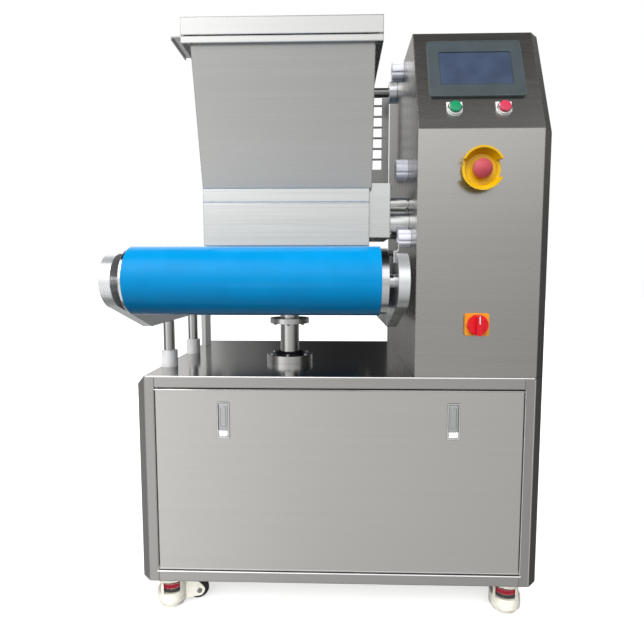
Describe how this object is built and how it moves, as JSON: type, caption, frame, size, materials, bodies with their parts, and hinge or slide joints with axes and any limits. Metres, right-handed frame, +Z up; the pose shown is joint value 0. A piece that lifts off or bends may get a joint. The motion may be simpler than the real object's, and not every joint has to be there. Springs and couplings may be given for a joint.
{
  "type": "cookie depositor",
  "caption": "Floor-standing dough depositor: wheeled steel cabinet with a drive console, lidded hopper over a twin-roller pump head with nozzles, and a belt table on a lift.",
  "frame": {"origin": "on the floor under the middle of the machine's footprint", "axes": "+Z up, front with the door and the controls towards -Y, console on the +X side"},
  "size_m": [0.9, 1.0178, 1.3275],
  "materials": {
    "stainless": "satin",
    "stainless_top": "satin",
    "polished": "polished",
    "latch_steel": "satin",
    "hopper_steel": "satin",
    "machined": "machined",
    "belt_blue": "matte",
    "white_plastic": "matte",
    "ivory": "gloss",
    "black_rubber": "matte",
    "bezel": "matte",
    "screen": "gloss",
    "green": "gloss",
    "red": "gloss",
    "yellow": "gloss",
    "orange": "gloss",
    "motor_paint": "matte",
    "drives": "matte"
  },
  "bodies": {
    "base": {"left_side_panel": "stainless", "right_side_panel": "stainless", "front_top_rail": "stainless", "front_bottom_rail": "stainless", "floor_plate": "stainless", "rear_panel": "stainless", "top_plate": "stainless_top", "caster_plates": "polished", "console_shell": "stainless", "console_rear_cover": "stainless", "touch_panel": "bezel", "touch_screen": "screen", "button_plates": "white_plastic", "stop_guard": "yellow", "switch_plate": "orange", "pump_motor": "motor_paint", "electrical_panel": "drives", "pump_body": "machined", "gear_housing": "machined", "nozzle_plate": "machined", "hopper": "hopper_steel", "lift_housing": "polished", "guide_bushes": "white_plastic"},
    "door": {"front_door": "stainless", "latch_frames": "polished"},
    "latch_lever_left": {"latch_lever_left": "latch_steel"},
    "latch_button_left": {"latch_button_left": "white_plastic"},
    "latch_lever_right": {"latch_lever_right": "latch_steel"},
    "latch_button_right": {"latch_button_right": "white_plastic"},
    "caster_front_left": {"caster_body_front_left": "ivory"},
    "caster_wheel_front_left": {"caster_wheel_front_left": "black_rubber"},
    "caster_foot_front_left": {"caster_foot_front_left": "black_rubber"},
    "caster_front_right": {"caster_body_front_right": "ivory"},
    "caster_wheel_front_right": {"caster_wheel_front_right": "black_rubber"},
    "caster_foot_front_right": {"caster_foot_front_right": "black_rubber"},
    "caster_rear_left": {"caster_body_rear_left": "ivory"},
    "caster_wheel_rear_left": {"caster_wheel_rear_left": "black_rubber"},
    "caster_foot_rear_left": {"caster_foot_rear_left": "black_rubber"},
    "caster_rear_right": {"caster_body_rear_right": "ivory"},
    "caster_wheel_rear_right": {"caster_wheel_rear_right": "black_rubber"},
    "caster_foot_rear_right": {"caster_foot_rear_right": "black_rubber"},
    "start_button": {"start_button": "green"},
    "stop_button": {"stop_button": "red"},
    "stop_head": {"stop_head": "red"},
    "switch_knob": {"switch_knob": "red"},
    "roller_front": {"feed_roller_front": "polished"},
    "roller_rear": {"feed_roller_rear": "polished"},
    "lid": {"hopper_lid": "hopper_steel"},
    "guard": {"rear_guard": "polished"},
    "knob_upper": {"hand_knob_upper": "white_plastic"},
    "knob_middle": {"hand_knob_middle": "white_plastic"},
    "knob_lower": {"hand_knob_lower": "white_plastic"},
    "table": {"table_plate_left": "machined", "table_plate_right": "machined", "belt": "belt_blue", "slider_bed": "stainless", "lift_column": "polished", "guide_rods": "polished"},
    "drum_front": {"front_drum": "polished"},
    "drum_rear": {"rear_drum": "polished"}
  },
  "joints": [
    {"name": "door_tilt", "type": "hinge", "parent": "base", "child": "door", "pos_m": [0, -0.285, 0.118], "axis": [1, 0, 0], "range_deg": [0, 90]},
    {"name": "latch_lever_left_lift", "type": "hinge", "parent": "door", "child": "latch_lever_left", "pos_m": [-0.253, -0.2875, 0.4963], "axis": [-1, 0, 0], "range_deg": [0, 40]},
    {"name": "latch_button_left_press", "type": "slide", "parent": "door", "child": "latch_button_left", "axis": [0, 1, 0], "range_m": [0, 0.003], "stiffness_N_per_m": 300},
    {"name": "latch_lever_right_lift", "type": "hinge", "parent": "door", "child": "latch_lever_right", "pos_m": [0.253, -0.2875, 0.4963], "axis": [-1, 0, 0], "range_deg": [0, 40]},
    {"name": "latch_button_right_press", "type": "slide", "parent": "door", "child": "latch_button_right", "axis": [0, 1, 0], "range_m": [0, 0.003], "stiffness_N_per_m": 300},
    {"name": "caster_front_left_swivel", "type": "hinge", "parent": "base", "child": "caster_front_left", "pos_m": [-0.394, -0.236, 0.08], "axis": [0, 0, 1], "continuous": true},
    {"name": "caster_front_left_roll", "type": "hinge", "parent": "caster_front_left", "child": "caster_wheel_front_left", "pos_m": [-0.33762, -0.21548, 0.0255], "axis": [-0.342, 0.9397, 0], "continuous": true},
    {"name": "caster_front_left_level", "type": "slide", "parent": "caster_front_left", "child": "caster_foot_front_left", "axis": [0, 0, 1], "range_m": [-0.004, 0.007]},
    {"name": "caster_front_right_swivel", "type": "hinge", "parent": "base", "child": "caster_front_right", "pos_m": [0.394, -0.236, 0.08], "axis": [0, 0, 1], "continuous": true},
    {"name": "caster_front_right_roll", "type": "hinge", "parent": "caster_front_right", "child": "caster_wheel_front_right", "pos_m": [0.40953, -0.17804, 0.0255], "axis": [-0.9659, 0.2588, 0], "continuous": true},
    {"name": "caster_front_right_level", "type": "slide", "parent": "caster_front_right", "child": "caster_foot_front_right", "axis": [0, 0, 1], "range_m": [-0.004, 0.007]},
    {"name": "caster_rear_left_swivel", "type": "hinge", "parent": "base", "child": "caster_rear_left", "pos_m": [-0.394, 0.236, 0.08], "axis": [0, 0, 1], "continuous": true},
    {"name": "caster_rear_left_roll", "type": "hinge", "parent": "caster_rear_left", "child": "caster_wheel_rear_left", "pos_m": [-0.33962, 0.21064, 0.0255], "axis": [0.4226, 0.9063, 0], "continuous": true},
    {"name": "caster_rear_left_level", "type": "slide", "parent": "caster_rear_left", "child": "caster_foot_rear_left", "axis": [0, 0, 1], "range_m": [-0.004, 0.007]},
    {"name": "caster_rear_right_swivel", "type": "hinge", "parent": "base", "child": "caster_rear_right", "pos_m": [0.394, 0.236, 0.08], "axis": [0, 0, 1], "continuous": true},
    {"name": "caster_rear_right_roll", "type": "hinge", "parent": "caster_rear_right", "child": "caster_wheel_rear_right", "pos_m": [0.33762, 0.21548, 0.0255], "axis": [0.342, -0.9397, 0], "continuous": true},
    {"name": "caster_rear_right_level", "type": "slide", "parent": "caster_rear_right", "child": "caster_foot_rear_right", "axis": [0, 0, 1], "range_m": [-0.004, 0.007]},
    {"name": "start_button_press", "type": "slide", "parent": "base", "child": "start_button", "axis": [0, 0.9179, -0.3967], "range_m": [0, 0.004], "stiffness_N_per_m": 400},
    {"name": "stop_button_press", "type": "slide", "parent": "base", "child": "stop_button", "axis": [0, 0.9179, -0.3967], "range_m": [0, 0.004], "stiffness_N_per_m": 400},
    {"name": "stop_head_press", "type": "slide", "parent": "base", "child": "stop_head", "axis": [0, 1, 0], "range_m": [0, 0.005], "stiffness_N_per_m": 500},
    {"name": "switch_turn", "type": "hinge", "parent": "base", "child": "switch_knob", "pos_m": [0.296, -0.29, 0.676], "axis": [0, 1, 0], "range_deg": [0, 90]},
    {"name": "roller_front_turn", "type": "hinge", "parent": "base", "child": "roller_front", "pos_m": [-0.119, -0.141, 0.95], "axis": [1, 0, 0], "continuous": true},
    {"name": "roller_rear_turn", "type": "hinge", "parent": "base", "child": "roller_rear", "pos_m": [-0.119, -0.071, 0.95], "axis": [1, 0, 0], "continuous": true},
    {"name": "lid_lift", "type": "hinge", "parent": "base", "child": "lid", "pos_m": [-0.119, 0.035, 1.2723], "axis": [-1, 0, 0], "range_deg": [0, 95]},
    {"name": "guard_swing", "type": "hinge", "parent": "base", "child": "guard", "pos_m": [-0.119, 0.118, 1.299], "axis": [1, 0, 0], "range_deg": [0, 90]},
    {"name": "knob_upper_turn", "type": "hinge", "parent": "base", "child": "knob_upper", "pos_m": [0.166, -0.026, 1.3], "axis": [1, 0, 0], "range_deg": [-180, 180]},
    {"name": "knob_middle_turn", "type": "hinge", "parent": "base", "child": "knob_middle", "pos_m": [0.166, -0.129, 1.032], "axis": [1, 0, 0], "range_deg": [-180, 180]},
    {"name": "knob_lower_turn", "type": "hinge", "parent": "base", "child": "knob_lower", "pos_m": [0.166, -0.194, 0.865], "axis": [1, 0, 0], "range_deg": [-180, 180]},
    {"name": "table_lift", "type": "slide", "parent": "base", "child": "table", "axis": [0, 0, 1], "range_m": [-0.06, 0]},
    {"name": "drum_front_turn", "type": "hinge", "parent": "table", "child": "drum_front", "pos_m": [-0.15, -0.446, 0.771], "axis": [1, 0, 0], "continuous": true},
    {"name": "drum_rear_turn", "type": "hinge", "parent": "table", "child": "drum_rear", "pos_m": [-0.15, 0.446, 0.771], "axis": [1, 0, 0], "continuous": true}
  ],
  "couplings": [
    {"joint": "roller_rear_turn", "follows": "roller_front_turn", "ratio": -1},
    {"joint": "drum_front_turn", "follows": "drum_rear_turn", "ratio": 1}
  ]
}
